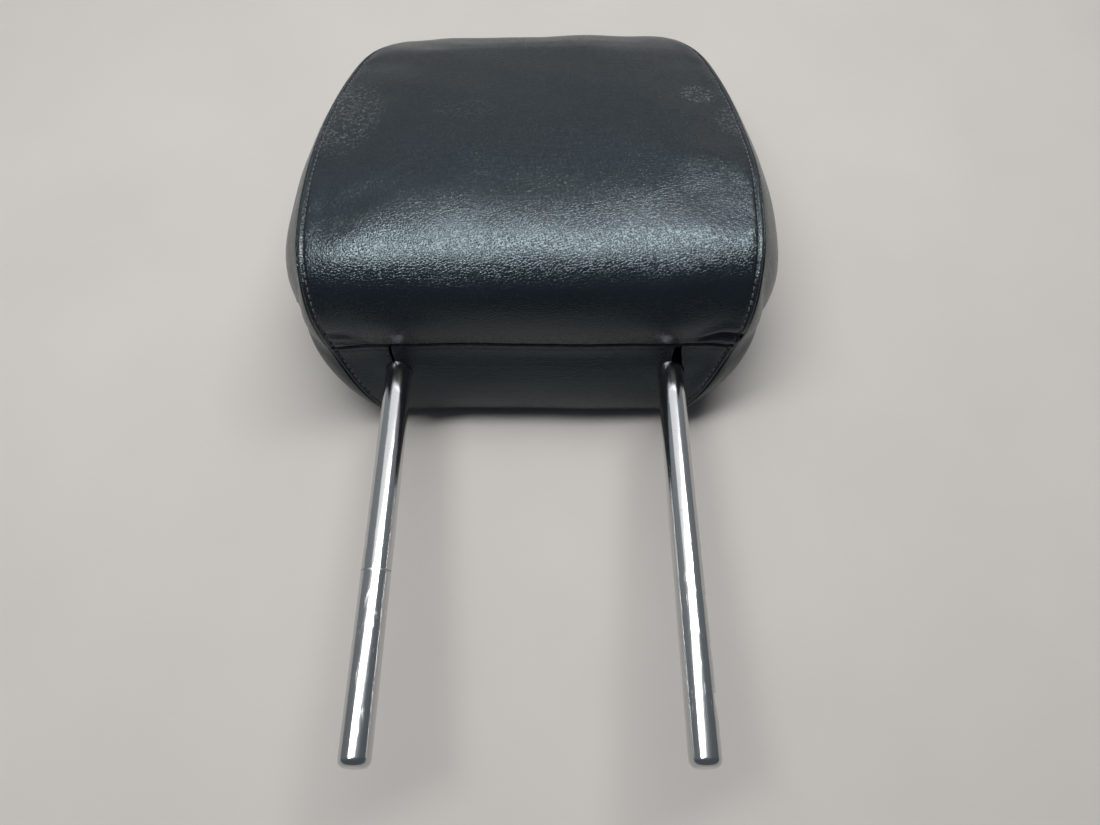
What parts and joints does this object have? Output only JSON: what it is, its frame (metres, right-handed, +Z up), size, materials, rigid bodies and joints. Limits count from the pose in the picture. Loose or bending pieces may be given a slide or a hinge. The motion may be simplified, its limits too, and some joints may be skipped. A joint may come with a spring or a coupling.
{
  "type": "car headrest",
  "caption": "Leather car headrest lying on its back: a padded cushion with a bulging lower front, closed underneath by hooked edges, on two chrome posts, one with height stops.",
  "frame": {"origin": "on the surface the headrest lies on, under the middle of its bounding box", "axes": "+X across the headrest, +Y along it from the post tips to the top of the cushion, +Z up out of the cushion's front face; the headrest lies on its back"},
  "size_m": [0.2638, 0.4318, 0.106],
  "materials": {
    "leather": "black grained leather, semi-matt, worn pale at the upper corners",
    "post_chrome": "bright chrome plate on steel tube, lightly scuffed",
    "foam": "moulded open-cell polyurethane foam",
    "black_plastic": "black moulded polypropylene",
    "zinc_steel": "zinc-plated steel"
  },
  "bodies": {
    "root": {"cover_main_panel": "leather", "cover_side_panel_left": "leather", "cover_side_panel_right": "leather", "closing_profile_front": "black_plastic", "closing_profile_flap": "black_plastic", "foam_pad": "foam", "post_frame": "post_chrome", "carrier_rear_half": "black_plastic", "carrier_front_half": "black_plastic", "carrier_screw_1": "zinc_steel", "carrier_screw_2": "zinc_steel", "carrier_screw_3": "zinc_steel", "carrier_screw_4": "zinc_steel"}
  },
  "joints": []
}
